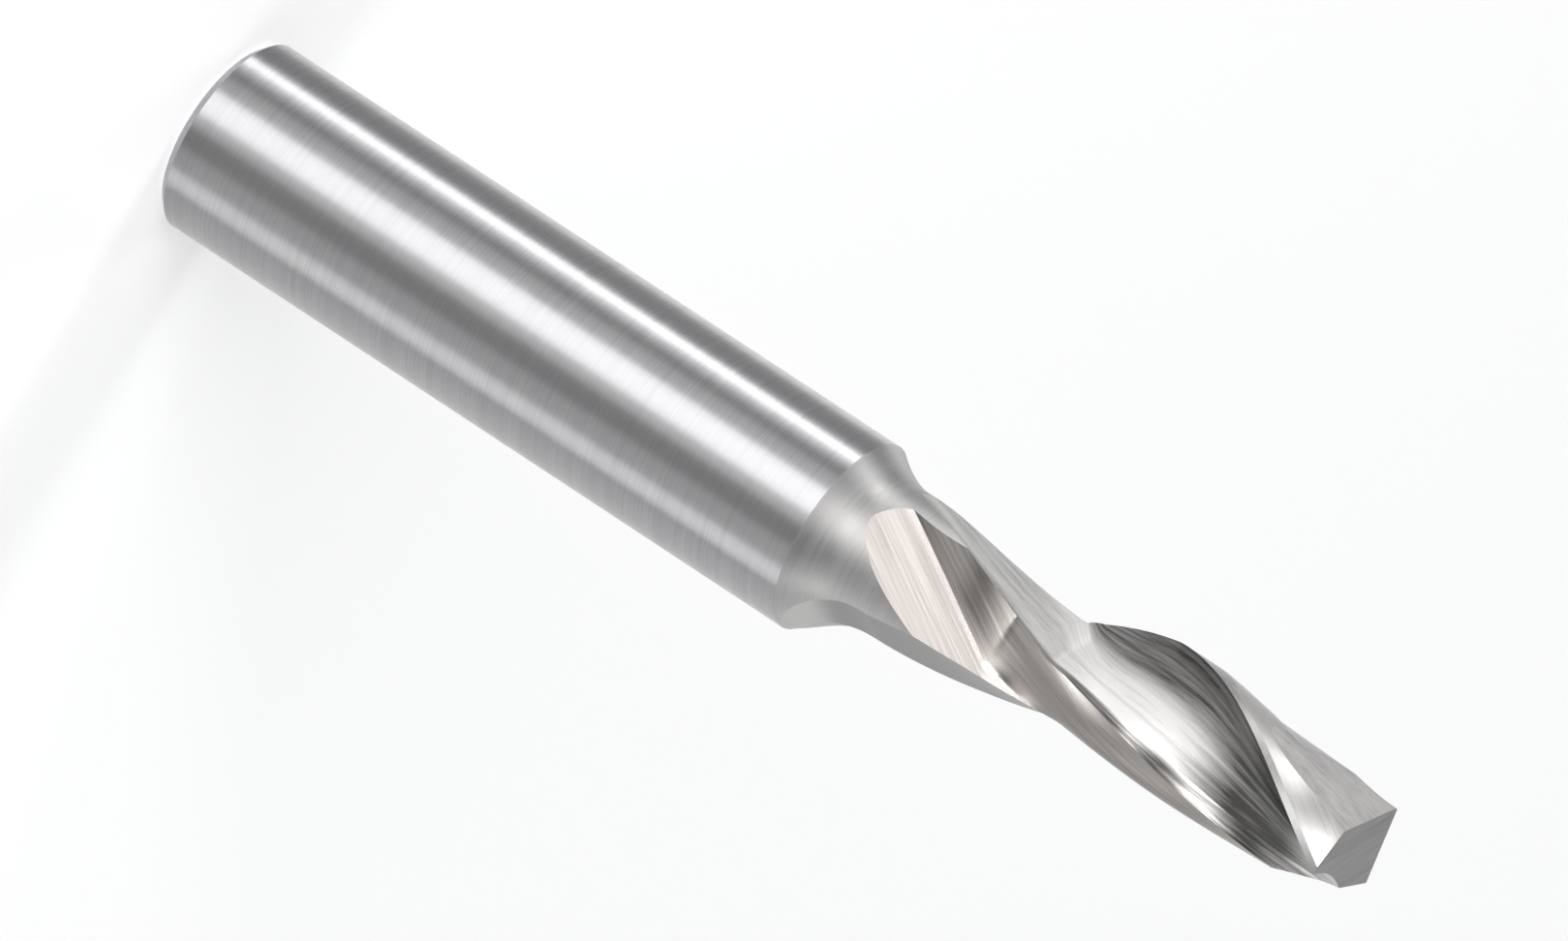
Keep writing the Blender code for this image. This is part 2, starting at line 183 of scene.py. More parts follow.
# The lines that the wheels leave. Real ones lie 0.01 to 0.03 mm apart, too fine to show in the render,
# so each finish draws them coarser, a twelfth to a fifth of a millimetre apart. A line keeps its tone
# for about its length. PATH_MAP is the map that gives a place on a wheel's path, in mm.
PATH_MAP = "wheel_path"
ROUND_LINE_LENGTH = 10.0 * MM
PATH_LINE_LENGTH = 5.0 * MM
FLAT_LINE_LENGTH = 10.0 / 3 * MM
END_LINES_TURN = 35.0

# How the lines show. Broad streaks, about eight lines wide, are mixed into the fine ones. The noise's
# usual range becomes the full range, which swings a tone and a roughness both ways by these shares.
# BAND_TURN is a quarter turn, which makes a blurred reflection run along the shank as a band.
BROAD_SCALE = 0.13
BROAD_SHARE = 0.4
NOISE_LOW = 0.3
NOISE_HIGH = 0.7
TONE_SWING = 0.35
ROUGHNESS_SWING = 0.15
BAND_TURN = 0.25

# A tone of 0 is a finish's dark colour and 1 its light one.
MIDDLE_TONE = 0.5

# The flute's painted highlight and shade, and the groove's painted shade, by a place on the wheel's
# path:
# X is across the section and Y is the height, in mm. Each edge of an area gives its axis, where the
# area starts and where it is full. Each step of the painted highlight on the flute's floor gives two
# heights, then what it adds to the tone under and over them.
FLUTE_HIGHLIGHT_AREA = (("X", 3.9, 5.3), ("X", 6.75, 6.4))
FLUTE_PAINTED_LIGHT_STEPS = ((35.0, 42.0, 0.3, 0.85), (45.4, 48.8, 0.0, -0.97), (50.6, 52.6, 0.0, 0.5))
FLUTE_PAINTED_SHADE_TONE = 0.15
GROOVE_PAINTED_SHADE_AREA = (("Y", 34.6, 36.0), ("Y", 38.0, 37.4), ("X", 0.15, 0.5), ("X", 4.0, 3.0))
GROOVE_PAINTED_SHADE_CHANGE = -0.45

# Floor: its reach to each side in metres, and the glow that only a view or a reflection of it gets,
# which lifts it to white. Air: the even light from all round.
FLOOR_REACH = 3.0
FLOOR_COLOUR = "e6e6e6"
FLOOR_ROUGHNESS = 0.8
FLOOR_GLOW = 0.25
AIR_COLOUR = "d8dadd"
AIR_STRENGTH = 0.3

# Lamps: upright soft panels round the cutter. The azimuth is in degrees from +X, seen from above. The
# sizes, the height of the lower side and the distance are in metres. Left and right are the photo's
# view of the standing cutter, whose camera is at azimuth -90.
LAMP_DISTANCE = 0.60
LAMPS = {
    # The broad bright band along the shank's middle, and the soft side of it.
    "wide_strip": dict(azimuth=-107.5, width=0.33, height=0.25, bottom=0.01, radiance=16.5),
    "wide_strip_edge": dict(azimuth=-85.0, width=0.14, height=0.25, bottom=0.01, radiance=4.5),
    # The narrow bright band by the shank's left edge, and the soft side of it.
    "edge_strip": dict(azimuth=-173.5, width=0.14, height=0.25, bottom=0.01, radiance=20.0),
    "edge_strip_edge": dict(azimuth=-161.5, width=0.11, height=0.25, bottom=0.01, radiance=4.5),
    # A dim light between those two bands.
    "corner_lamp": dict(azimuth=-133.0, width=0.20, height=0.30, bottom=0.05, radiance=3.2),
    # The soft light of the shank's right half, up to its edge.
    "right_strip": dict(azimuth=-15.0, width=0.25, height=0.36, bottom=0.02, radiance=6.0),
    "right_fill": dict(azimuth=-41.0, width=0.26, height=0.36, bottom=0.02, radiance=1.8,
                       distance=0.62),
    "right_wall": dict(azimuth=46.0, width=1.40, height=0.40, bottom=0.02, radiance=2.2,
                       distance=0.70),
    # A band on the shank's back.
    "back_strip": dict(azimuth=122.0, width=0.26, height=0.36, bottom=0.02, radiance=3.5),
}

# Camera: the photo's. It looks down by its elevation and is rolled, in degrees. The point of the axis
# at AXIS_HEIGHT is seen at AXIS_PIXEL of the photo's frame. Distances and clips are in metres.
CAMERA_ELEVATION = 20.741
CAMERA_ROLL = 33.273
CAMERA_DISTANCE = 1.2
CLIP_START = 0.05
CLIP_END = 20.0
FOCAL_LENGTH_MM = 742.4
SENSOR_WIDTH_MM = 36.0
PIXELS_PER_MM = 27.824
IMAGE_SIZE = (1619, 972)
AXIS_PIXEL = (813.609, 518.684)
AXIS_HEIGHT = 27.0 * MM


def linear(text):
    """An sRGB hex colour as linear red, green, blue and alpha."""
    values = [int(text[i:i + 2], 16) / 255 for i in (0, 2, 4)]
    return [v / 12.92 if v <= 0.04045 else ((v + 0.055) / 1.055) ** 2.4 for v in values] + [1.0]


def add(tree, kind, settings=None, **inputs):
    """Adds a node. An input, named by its label or by i and its number, takes a value or the output
    socket of another node."""
    made = tree.nodes.new("ShaderNode" + kind)
    for name, value in (settings or {}).items():
        setattr(made, name, value)
    for name, value in inputs.items():
        key = int(name[1:]) if name[1:].isdigit() else name.replace("_", " ")
        if isinstance(value, bpy.types.NodeSocket):
            tree.links.new(value, made.inputs[key])
        else:
            made.inputs[key].default_value = value
    return made


def round_lines(tree, spacing):
    """Where a pattern of fine lines round the axis is read: it changes fast along the axis only."""
    place = add(tree, "TexCoord").outputs["Object"]
    scale = (1 / ROUND_LINE_LENGTH, 1 / ROUND_LINE_LENGTH, 1 / spacing)
    return add(tree, "Mapping", None, Vector=place, Scale=scale).outputs[0]


def path_lines(tree, spacing):
    """Where a pattern of fine lines along a wheel's path is read: it changes fast across the path."""
    place = add(tree, "UVMap", {"uv_map": PATH_MAP}).outputs[0]
    scale = (MM / spacing, MM / PATH_LINE_LENGTH, 1.0)
    return add(tree, "Mapping", None, Vector=place, Scale=scale).outputs[0]


def long_lines(tree, spacing):
    """Where a pattern of fine lines along the axis is read: it changes slowly along the axis."""
    place = add(tree, "TexCoord").outputs["Object"]
    scale = (1 / spacing, 1 / spacing, 1 / FLAT_LINE_LENGTH)
    return add(tree, "Mapping", None, Vector=place, Scale=scale).outputs[0]


def end_lines(tree, spacing):
    """Where a pattern of fine lines across the end face is read: they lie turned from the Y axis."""
    place = add(tree, "TexCoord").outputs["Object"]
    turn = (math.radians(RIGHT_ANGLE), 0.0, math.radians(END_LINES_TURN))
    return add(tree, "Mapping", {"vector_type": "TEXTURE"}, Vector=place, Rotation=turn,
               Scale=(spacing, spacing, FLAT_LINE_LENGTH)).outputs[0]


def path_place(tree):
    """A point's place on a wheel's path, as X and Y."""
    place = add(tree, "UVMap", {"uv_map": PATH_MAP}).outputs[0]
    return add(tree, "SeparateXYZ", None, Vector=place).outputs


def inside(tree, place, area):
    """1 inside an area of a wheel's path and 0 outside it, with a soft step at each of its edges."""
    share = 1.0
    for axis, start, full in area:
        edge = add(tree, "MapRange", {"interpolation_type": "SMOOTHSTEP"}, Value=place[axis],
                   From_Min=start, From_Max=full).outputs[0]
        share = add(tree, "Math", {"operation": "MULTIPLY"}, i0=edge, i1=share).outputs[0]
    return share


def even(tree):
    """The same tone all over."""
    return MIDDLE_TONE


def painted_flute_light(tree):
    """Painted light on the flute: a painted highlight along its floor, and painted shade on the rake,
    by its wall and near the tip.
    """
    place = path_place(tree)
    bright = 0.0
    for start, end, under, over in FLUTE_PAINTED_LIGHT_STEPS:
        step = add(tree, "MapRange", {"interpolation_type": "SMOOTHSTEP"}, Value=place["Y"],
                   From_Min=start, From_Max=end, To_Min=under, To_Max=over).outputs[0]
        bright = add(tree, "Math", {"operation": "ADD"}, i0=step, i1=bright).outputs[0]
    on_highlight_area = inside(tree, place, FLUTE_HIGHLIGHT_AREA)
    return add(tree, "Math", {"operation": "MULTIPLY_ADD"}, i0=on_highlight_area, i1=bright,
               i2=FLUTE_PAINTED_SHADE_TONE).outputs[0]


def painted_groove_shade(tree):
    """Painted shade on the groove: duller on its wall, where the helix ends and the straight exit
    starts.
    """
    in_painted_shade = inside(tree, path_place(tree), GROOVE_PAINTED_SHADE_AREA)
    return add(tree, "Math", {"operation": "MULTIPLY_ADD"}, i0=in_painted_shade, i1=GROOVE_PAINTED_SHADE_CHANGE,
               i2=MIDDLE_TONE).outputs[0]


def steel(name, dark, light, roughness, lines, spacing, depth, anisotropic=0.0, tone=even):
    """Ground steel. The wheel's lines vary its colour, its roughness and its height a little."""
    material = bpy.data.materials.new(name)
    material.use_nodes = True
    tree = material.node_tree
    shader = tree.nodes["Principled BSDF"]
    shader.inputs["Metallic"].default_value = 1.0
    shader.inputs["Anisotropic"].default_value = anisotropic
    shader.inputs["Anisotropic Rotation"].default_value = BAND_TURN
    place = lines(tree, spacing)
    fine = add(tree, "TexNoise", None, Vector=place, Scale=1.0, Detail=3.0, Roughness=0.65)
    broad = add(tree, "TexNoise", None, Vector=place, Scale=BROAD_SCALE, Detail=2.0, Roughness=0.5)
    both = add(tree, "Mix", {"data_type": "FLOAT"}, i0=BROAD_SHARE, i2=fine.outputs[0],
               i3=broad.outputs[0]).outputs[0]
    strong = add(tree, "MapRange", None, Value=both, From_Min=NOISE_LOW,
                 From_Max=NOISE_HIGH).outputs[0]
    swing = add(tree, "Math", {"operation": "MULTIPLY_ADD"}, i0=strong, i1=2 * TONE_SWING,
                i2=-TONE_SWING).outputs[0]
    share = add(tree, "Math", {"operation": "ADD", "use_clamp": True}, i0=swing,
                i1=tone(tree)).outputs[0]
    tint = add(tree, "Mix", {"data_type": "RGBA"}, i0=share, i6=linear(dark),
               i7=linear(light)).outputs[2]
    rough = add(tree, "MapRange", None, Value=strong, To_Min=roughness * (1 - ROUGHNESS_SWING),
                To_Max=roughness * (1 + ROUGHNESS_SWING)).outputs[0]
    bump = add(tree, "Bump", None, Height=strong, Strength=1.0, Distance=depth).outputs[0]
    tree.links.new(tint, shader.inputs["Base Color"])
    tree.links.new(rough, shader.inputs["Roughness"])
    tree.links.new(bump, shader.inputs["Normal"])
    if anisotropic:
        tangent = add(tree, "Tangent", {"direction_type": "RADIAL", "axis": "Z"}).outputs[0]
        tree.links.new(tangent, shader.inputs["Tangent"])
    return material


# The finishes, all on one bar of high-speed steel. The wheel that ground each surface sets its lines.

# Centreless ground steel: fine lines round the shank draw every light out into a band along it.
SHANK_STEEL = steel("shank_ground_steel", dark="848385", light="a7a6a7", roughness=0.42,
                    lines=round_lines, spacing=MM / 12, depth=0.0003 * MM, anisotropic=1.0)

# Fine turned steel on the shoulder and the neck: the same lines, coarser, with a duller shine.
TURNED_STEEL = steel("turned_satin_steel", dark="828181", light="a5a4a3", roughness=0.58,
                     lines=round_lines, spacing=MM / 9, depth=0.0008 * MM, anisotropic=0.7)

# Wheel-ground flute: lines along the helix, with cloudy light and dark streaks between them. A painted
# highlight runs along its floor, and painted shade lies on the rake, by its wall and near the tip.
FLUTE_STEEL_PAINTED_LIGHT = steel("flute_ground_steel_painted_light", dark="484746", light="dad8d6", roughness=0.28,
                    lines=path_lines, spacing=MM / 5, depth=0.003 * MM, tone=painted_flute_light)

# Finely ground land: an even light grey with faint lines along the helix.
LAND_STEEL = steel("land_ground_steel", dark="858382", light="aaa8a6", roughness=0.30,
                   lines=path_lines, spacing=MM / 7, depth=0.001 * MM)

# Wheel-ground back groove: a slightly warm grey, with plain lines along it, and painted shade on its
# wall where the helix ends and the straight exit starts.
GROOVE_STEEL_PAINTED_SHADE = steel("groove_ground_steel_painted_shade", dark="5c5956", light="a39e9a", roughness=0.30,
                     lines=path_lines, spacing=MM / 8, depth=0.002 * MM, tone=painted_groove_shade)

# Wheel-ground back flats: an even, darker grey, with plain lines along them.
RELIEF_STEEL = steel("relief_ground_steel", dark="5b5a59", light="7d7c7b", roughness=0.34,
                     lines=path_lines, spacing=MM / 6, depth=0.0015 * MM)

# Ground end face: straight lines across it.
END_STEEL = steel("end_ground_steel", dark="656463", light="aeacab", roughness=0.38,
                  lines=end_lines, spacing=MM / 6, depth=0.0015 * MM)

# Ground flats on the heel and in the gash: light, with straight lines along the cutter.
TIP_FLAT_STEEL = steel("tip_flat_ground_steel", dark="858483", light="b4b2b1", roughness=0.38,
                       lines=long_lines, spacing=MM / 6, depth=0.0015 * MM)

# Turned steel on the shank's end and its chamfer, which shows as a light ring.
CHAMFER_STEEL = steel("chamfer_turned_steel", dark="9c9ca0", light="b0b0b4", roughness=0.46,
                      lines=round_lines, spacing=MM / 9, depth=0.0005 * MM)


def polar(radius, degrees):
    """A point or a direction in a section."""
    angle = math.radians(degrees)
    return Vector((radius * math.cos(angle), radius * math.sin(angle), 0.0))


def dropped(drop, degrees):
    """A point that lies a drop inside the cutting radius."""
    return polar(CUTTING_DIAMETER / 2 - drop, degrees)


def ray(start, degrees):
    """Points along a straight line from start out of the blank, close together inside it."""
    return [start + polar(OUTSIDE * share, degrees) for share in LINE_SHARES]


def bowed(start, end, bow, count):
    """Points from start to end on a parabola that bows to the left of that direction."""
    along = end - start
    left = Vector((-along.y, along.x, 0.0)).normalized()
    shares = [i / (count + 1) for i in range(1, count + 1)]
    return [start, *[start + along * t + left * (4 * bow * t * (1 - t)) for t in shares], end]


def turned(height):
    """A section's place on the edge's helix: at a height, turned about the axis."""
    turn = math.radians(EDGE_ANGLE_AT_TIP) + math.tau * (height - OVERALL_LENGTH) / HELIX_LEAD
    return Matrix.Translation((0.0, 0.0, height)) @ Matrix.Rotation(turn, 4, "Z")


def heights(start, end):
    """Evenly spaced heights from start to end, no further apart than STATION_STEP."""
    count = math.ceil(abs(end - start) / STATION_STEP)
    return [start + (end - start) * i / count for i in range(count + 1)]


def below(height, depth):
    """How far a height lies below the level at a depth under the tip, or 0 above that level."""
    return max(OVERALL_LENGTH - depth - height, 0.0)


def slowed_height(height, depth, length, share):
    """The height that sets a section's turn. Under a depth the turn slows over a length, by a share
    of it that falls to none."""
    fall = min(below(height, depth), length)
    return max(height, OVERALL_LENGTH - depth) - share * (fall - fall**2 / (2 * length))


def smooth_step(value):
    """From 0 to 1, level at both ends."""
    return value * value * (3 - 2 * value)


def blank_profile():
    """Radius and height down the outer side of the blank, from the tip to the shank end."""
    shank = SHANK_DIAMETER / 2
    cutting = CUTTING_DIAMETER / 2
    neck = cutting - NECK_RELIEF
    top = OVERALL_LENGTH + OVERRUN
    taper_start = OVERALL_LENGTH - CUTTING_LENGTH
    shoulder_end = SHANK_LENGTH + SHOULDER_LENGTH
    points = [(0.0, top), (cutting, top), (cutting, taper_start), (neck, NECK_END)]
    for step in range(SHOULDER_STEPS):
        share = step / (SHOULDER_STEPS - 1)
        radius = neck + (shank - neck) * share**SHOULDER_POWER
        points.append((radius, shoulder_end - SHOULDER_LENGTH * share))
    points.append((shank, END_CHAMFER))
    points.append((shank - END_CHAMFER, 0.0))
    points.append((0.0, 0.0))
    return points


def flute_turn_height(height):
    """The height that sets the turn of the flute's floor."""
    return slowed_height(height, FLUTE_SLOW_DEPTH, FLUTE_SLOW_LENGTH, FLUTE_SLOW_SHARE)


def rim_angle(height):
    """Where the rake meets the rim, counted from the floor's own turn: the rim keeps close to the
    edge's helix."""
    lag = FULL_TURN * (flute_turn_height(height) - height) / HELIX_LEAD
    ahead = FULL_TURN * below(height, CUTTING_LENGTH) / RAKE_RIM_LEAD
    return max(ahead - lag, -RAKE_RIM_LAG_LIMIT)


def flute_outline(height):
    """The flute's section: going down, its crest moves out to the rim and its floor rises."""
    crest = polar(FLOOR_CREST_RADIUS, FLOOR_CREST_ANGLE)
    floor_end = polar(FLOOR_END_RADIUS, FLOOR_END_ANGLE)
    floor = (floor_end - crest).normalized()
    widening = min(below(height, FLUTE_WIDEN_DEPTH) ** 2 / FLUTE_WIDEN_SCALE, FLUTE_WIDEN_LIMIT)
    crest -= floor * widening
    edge = polar(CUTTING_DIAMETER / 2, rim_angle(height))
    past_edge = edge + (edge - crest).normalized() * PAST_EDGE
    hollow = RAKE_HOLLOW * (1 - widening / FLUTE_WIDEN_LIMIT)
    middle = (crest + floor_end) / 2
    wall = ray(floor_end, FLUTE_WALL_DIRECTION)
    over = Vector((past_edge.x, wall[-1].y, 0.0))
    lift = Vector((floor.y, -floor.x, 0.0)) * (FLUTE_LIFT_SLOPE * below(height, FLUTE_LIFT_DEPTH))
    rake = bowed(edge, crest, hollow, RAKE_POINTS)
    return [point + lift for point in [past_edge, *rake, middle, floor_end, *wall, over]]


def flute_rings():
    """The flute's sections, from above the tip to the shoulder."""
    rings = []
    for height in heights(CUT_START, SHANK_LENGTH + SHOULDER_LENGTH):
        turn_height = flute_turn_height(height)
        place = Matrix.Translation((0.0, 0.0, height - turn_height)) @ turned(turn_height)
        rings.append([place @ point for point in flute_outline(height)])
    return rings


def land_outline(height):
    """What is ground off outside the land: the second facet, the arc behind it, then the outside."""
    margin_end = polar(CUTTING_DIAMETER / 2, MARGIN_ANGLE)
    facet_end = dropped(SECOND_FACET_DROP, SECOND_FACET_ANGLE)
    depth = max(OVERALL_LENGTH - height, 0.0)
    bow = SECOND_FACET_BOW * min(depth / SECOND_FACET_BOW_DEPTH, 1.0)
    fall = LAND_BACK_DROP - LAND_ARC_DROP
    sweep = LAND_BACK_ANGLE - LAND_ARC_ANGLE
    shares = [step / LAND_ARC_STEPS for step in range(LAND_ARC_STEPS + 1)]
    arc = [dropped(LAND_ARC_DROP + fall * t, LAND_ARC_ANGLE + sweep * t) for t in shares]
    outer = [polar(OUTSIDE, LAND_BACK_ANGLE - sweep * t) for t in (0.0, 0.5, 1.0)]
    past_margin = margin_end + polar(PAST_MARGIN, PAST_MARGIN_DIRECTION)
    return [*bowed(margin_end, facet_end, bow, FACET_POINTS), *arc, *outer, past_margin]


def land_rings():
    """The land's sections, from above the tip to the neck."""
    rings = []
    for height in heights(CUT_START, NECK_END):
        rings.append([turned(height) @ point for point in land_outline(height)])
    return rings


def exit_rise(height):
    """How far a back flat has lifted out of the neck at a height near the shoulder."""
    share = max(SHANK_LENGTH + BACK_EXIT_LENGTH - height, 0.0) / BACK_EXIT_LENGTH
    return BACK_EXIT_RISE * share**BACK_EXIT_POWER


def back_turn(height):
    """The turn in degrees of the outer back flat, which stops where the flat starts to lift out."""
    turning_height = max(height, SHANK_LENGTH + BACK_EXIT_LENGTH)
    from_reference = turning_height - OVERALL_LENGTH + BACK_REFERENCE_DEPTH
    at_reference = EDGE_ANGLE_AT_TIP - FULL_TURN * BACK_REFERENCE_DEPTH / HELIX_LEAD
    return at_reference + FULL_TURN * from_reference / BACK_LEAD


def back_flat_ring(height, direction, side):
    """A back flat's section: its line through the corner, and all that lies on its outer side."""
    growth = BACK_CORNER_GROWTH * max(1 - (OVERALL_LENGTH - height) / BACK_REFERENCE_DEPTH, 0.0)
    corner = dropped(BACK_CORNER_DROP - growth, back_turn(height) + BACK_CORNER_ANGLE)
    corner.z = height
    lift = direction + side * RIGHT_ANGLE
    before = corner + polar(PAST_EDGE, direction + FULL_TURN / 2)
    after = ray(corner, direction)
    outer = [after[-1] + polar(OUTSIDE, lift), before + polar(OUTSIDE, lift)]
    rise = polar(exit_rise(height), lift)
    return [point + rise for point in [before, corner, *after, *outer]]


def outer_back_rings():
    """The outer back flat's sections, from above the tip to the shank."""
    rings = []
    for height in heights(CUT_START, SHANK_LENGTH):
        rings.append(back_flat_ring(height, back_turn(height) + BACK_OUTER_DIRECTION, -1))
    return rings


def inner_back_rings():
    """The inner back flat's sections, on a helix of its own that slows down towards the shank."""
    rings = []
    for height in heights(CUT_START, SHANK_LENGTH):
        slowed = slowed_height(height, BACK_INNER_SLOW_DEPTH, BACK_INNER_SLOW_LENGTH,
                               BACK_INNER_SLOW_SHARE)
        turn = EDGE_ANGLE_AT_TIP + FULL_TURN * (slowed - OVERALL_LENGTH) / BACK_INNER_LEAD
        rings.append(back_flat_ring(height, turn + BACK_INNER_DIRECTION, 1))
    return rings


def groove_outline(height):
    """The back groove's section: from the root over the web's back, then the open wall."""
    fall = below(height, GROOVE_EXIT_DEPTH)
    rise = 1 - below(height, WEB_FULL_DEPTH) / (GROOVE_EXIT_DEPTH - WEB_FULL_DEPTH)
    share = smooth_step(max(rise, 0.0))
    exit_root = polar(GROOVE_EXIT_ROOT_RADIUS, GROOVE_EXIT_ROOT_ANGLE)
    root = exit_root.lerp(polar(GROOVE_ROOT_RADIUS, GROOVE_ROOT_ANGLE), share)
    floor_direction = GROOVE_EXIT_FLOOR_DIRECTION + FULL_TURN * fall / GROOVE_EXIT_LEAD
    floor = polar(GROOVE_EXIT_FLOOR_WIDTH, floor_direction)
    start = (root + floor).lerp(polar(WEB_START_RADIUS, WEB_START_ANGLE), share)
    before = start + (start - root).normalized() * OVERRUN
    web = bowed(root, start, WEB_BULGE * share, WEB_POINTS)
    wall = ray(root, GROOVE_WALL_DIRECTION)
    over = [polar(OUTSIDE, PAST_WEB_ANGLE), polar(FAR_OUTSIDE, PAST_GROOVE_ANGLE)]
    tip = max(1 - (OVERALL_LENGTH - height) / WEB_TIP_SHIFT_DEPTH, 0.0)
    shift = polar(WEB_TIP_SHIFT * tip**2, WEB_TIP_DIRECTION)
    return [point + shift for point in [*web, before, *over, *reversed(wall)]]


def groove_rings():
    """The groove's sections: on the helix down to its exit, then moved straight out of the neck."""
    rings = []
    for height in heights(CUT_START, SHANK_LENGTH + GROOVE_END_ABOVE_SHANK):
        fall = below(height, GROOVE_EXIT_DEPTH)
        place = turned(height + fall)
        step = Vector((-GROOVE_EXIT_SLOPE * fall, -GROOVE_EXIT_SIDE_SLOPE * fall, -fall))
        rings.append([place @ point + step for point in groove_outline(height)])
    return rings


def facing(point, normal, level=UP):
    """A place at a point whose local z is the normal, and whose local x is square to level."""
    side = level.cross(normal).normalized()
    up = normal.cross(side)
    axes = Matrix((side, up, normal)).transposed().to_4x4()
    return Matrix.Translation(point) @ axes


def heel_flat_place():
    """The flat on the heel passes through two points at the tip, and leans in by its tilt."""
    tip = turned(OVERALL_LENGTH)
    front = tip @ dropped(HEEL_FLAT_FRONT_DROP, HEEL_FLAT_FRONT_ANGLE)
    back = tip @ dropped(HEEL_FLAT_BACK_DROP, HEEL_FLAT_BACK_ANGLE)
    along = (back - front).normalized()
    outward = along.cross(UP)
    if outward.dot(front - UP * OVERALL_LENGTH) < 0:
        outward.negate()
    tilt = math.radians(HEEL_FLAT_TILT)
    return facing((front + back) / 2, outward * math.cos(tilt) + UP * math.sin(tilt))


def gash_place():
    """The gash runs along the cutting edge, at its depth from the axis on the flute's side."""
    edge = (turned(OVERALL_LENGTH).to_3x3() @ polar(1.0, GASH_TURN)).normalized()
    outward = Vector((-edge.y, edge.x, 0.0))
    tilt = math.radians(GASH_TILT)
    normal = outward * math.cos(tilt) + UP * math.sin(tilt)
    return facing(UP * OVERALL_LENGTH + outward * GASH_DEPTH, normal)


def end_place():
    """The end face falls away from the cutting edge by the end relief."""
    turn = turned(OVERALL_LENGTH).to_3x3()
    across = (turn @ polar(1.0, -RIGHT_ANGLE)).normalized()
    side = (turn @ polar(1.0, 0.0)).normalized()
    tilt = math.radians(END_RELIEF)
    return facing(UP * OVERALL_LENGTH, across * math.sin(tilt) + UP * math.cos(tilt), side)


def new_piece(name, bm, *finishes):
    """Makes the bmesh an object with these finishes."""
    mesh = bpy.data.meshes.new(name)
    bm.to_mesh(mesh)
    bm.free()
    for finish in finishes:
        mesh.materials.append(finish)
    made = bpy.data.objects.new(name, mesh)
    bpy.context.scene.collection.objects.link(made)
    return made


def turned_blank():
    """The blank, spun round its axis. Its map is empty, because no wheel has ground it yet."""
    bm = bmesh.new()
    line = [bm.verts.new((radius, 0.0, height)) for radius, height in blank_profile()]
    edges = [bm.edges.new(pair) for pair in zip(line, line[1:])]
    bmesh.ops.spin(bm, geom=[*line, *edges], axis=UP, angle=math.tau, steps=ROUND_STEPS,
                   use_merge=True)
    bmesh.ops.remove_doubles(bm, verts=bm.verts, dist=MERGE_DISTANCE)
    bmesh.ops.recalc_face_normals(bm, faces=bm.faces)
    bm.loops.layers.uv.new(PATH_MAP)
    finishes = [SHANK_STEEL, TURNED_STEEL, CHAMFER_STEEL]
    for face in bm.faces:
        height = face.calc_center_median().z
        if height > SHANK_LENGTH:
            face.material_index = finishes.index(TURNED_STEEL)
        elif height < END_CHAMFER:
            face.material_index = finishes.index(CHAMFER_STEEL)
    return new_piece("ground_cutter", bm, *finishes)


def carried(name, rings, finish):
    """A wheel's path: a closed section that is extruded on from ring to ring, and closed at both
    ends. Its map tells in mm how far a point lies across the section and how high it is."""
    bm = bmesh.new()
    loop = [bm.verts.new(point) for point in rings[0]]
    steps = [(end - start).length for start, end in zip(rings[0], rings[0][1:])]
    across = [sum(steps[:count]) / MM for count in range(len(loop))]
    places = {vert: (u, vert.co.z / MM) for vert, u in zip(loop, across)}
    edges = [bm.edges.new(pair) for pair in zip(loop, loop[1:] + loop[:1])]
    bm.faces.new(loop)
    for ring in rings[1:]:
        moved = bmesh.ops.extrude_edge_only(bm, edges=edges)["geom"]
        edges = [item for item in moved if isinstance(item, bmesh.types.BMEdge)]
        fresh = {item for item in moved if isinstance(item, bmesh.types.BMVert)}
        ends = [[edge.other_vert(vert) for edge in vert.link_edges] for vert in loop]
        loop = [next(end for end in near if end in fresh) for near in ends]
        for vert, point, u in zip(loop, ring, across):
            vert.co = point
            places[vert] = (u, point.z / MM)
    bm.faces.new(loop)
    bmesh.ops.recalc_face_normals(bm, faces=bm.faces)
    path = bm.loops.layers.uv.new(PATH_MAP)
    for face in bm.faces:
        for corner in face.loops:
            corner[path].uv = places[corner.vert]
    return new_piece(name, bm, finish)


def flat(name, place, finish):
    """A square block whose lower face is the plane that grinds a flat."""
    bm = bmesh.new()
    bmesh.ops.create_cube(bm, size=2 * OUTSIDE)
    bm.loops.layers.uv.new(PATH_MAP)
    bmesh.ops.transform(bm, matrix=place @ Matrix.Translation(UP * OUTSIDE), verts=bm.verts)
    return new_piece(name, bm, finish)


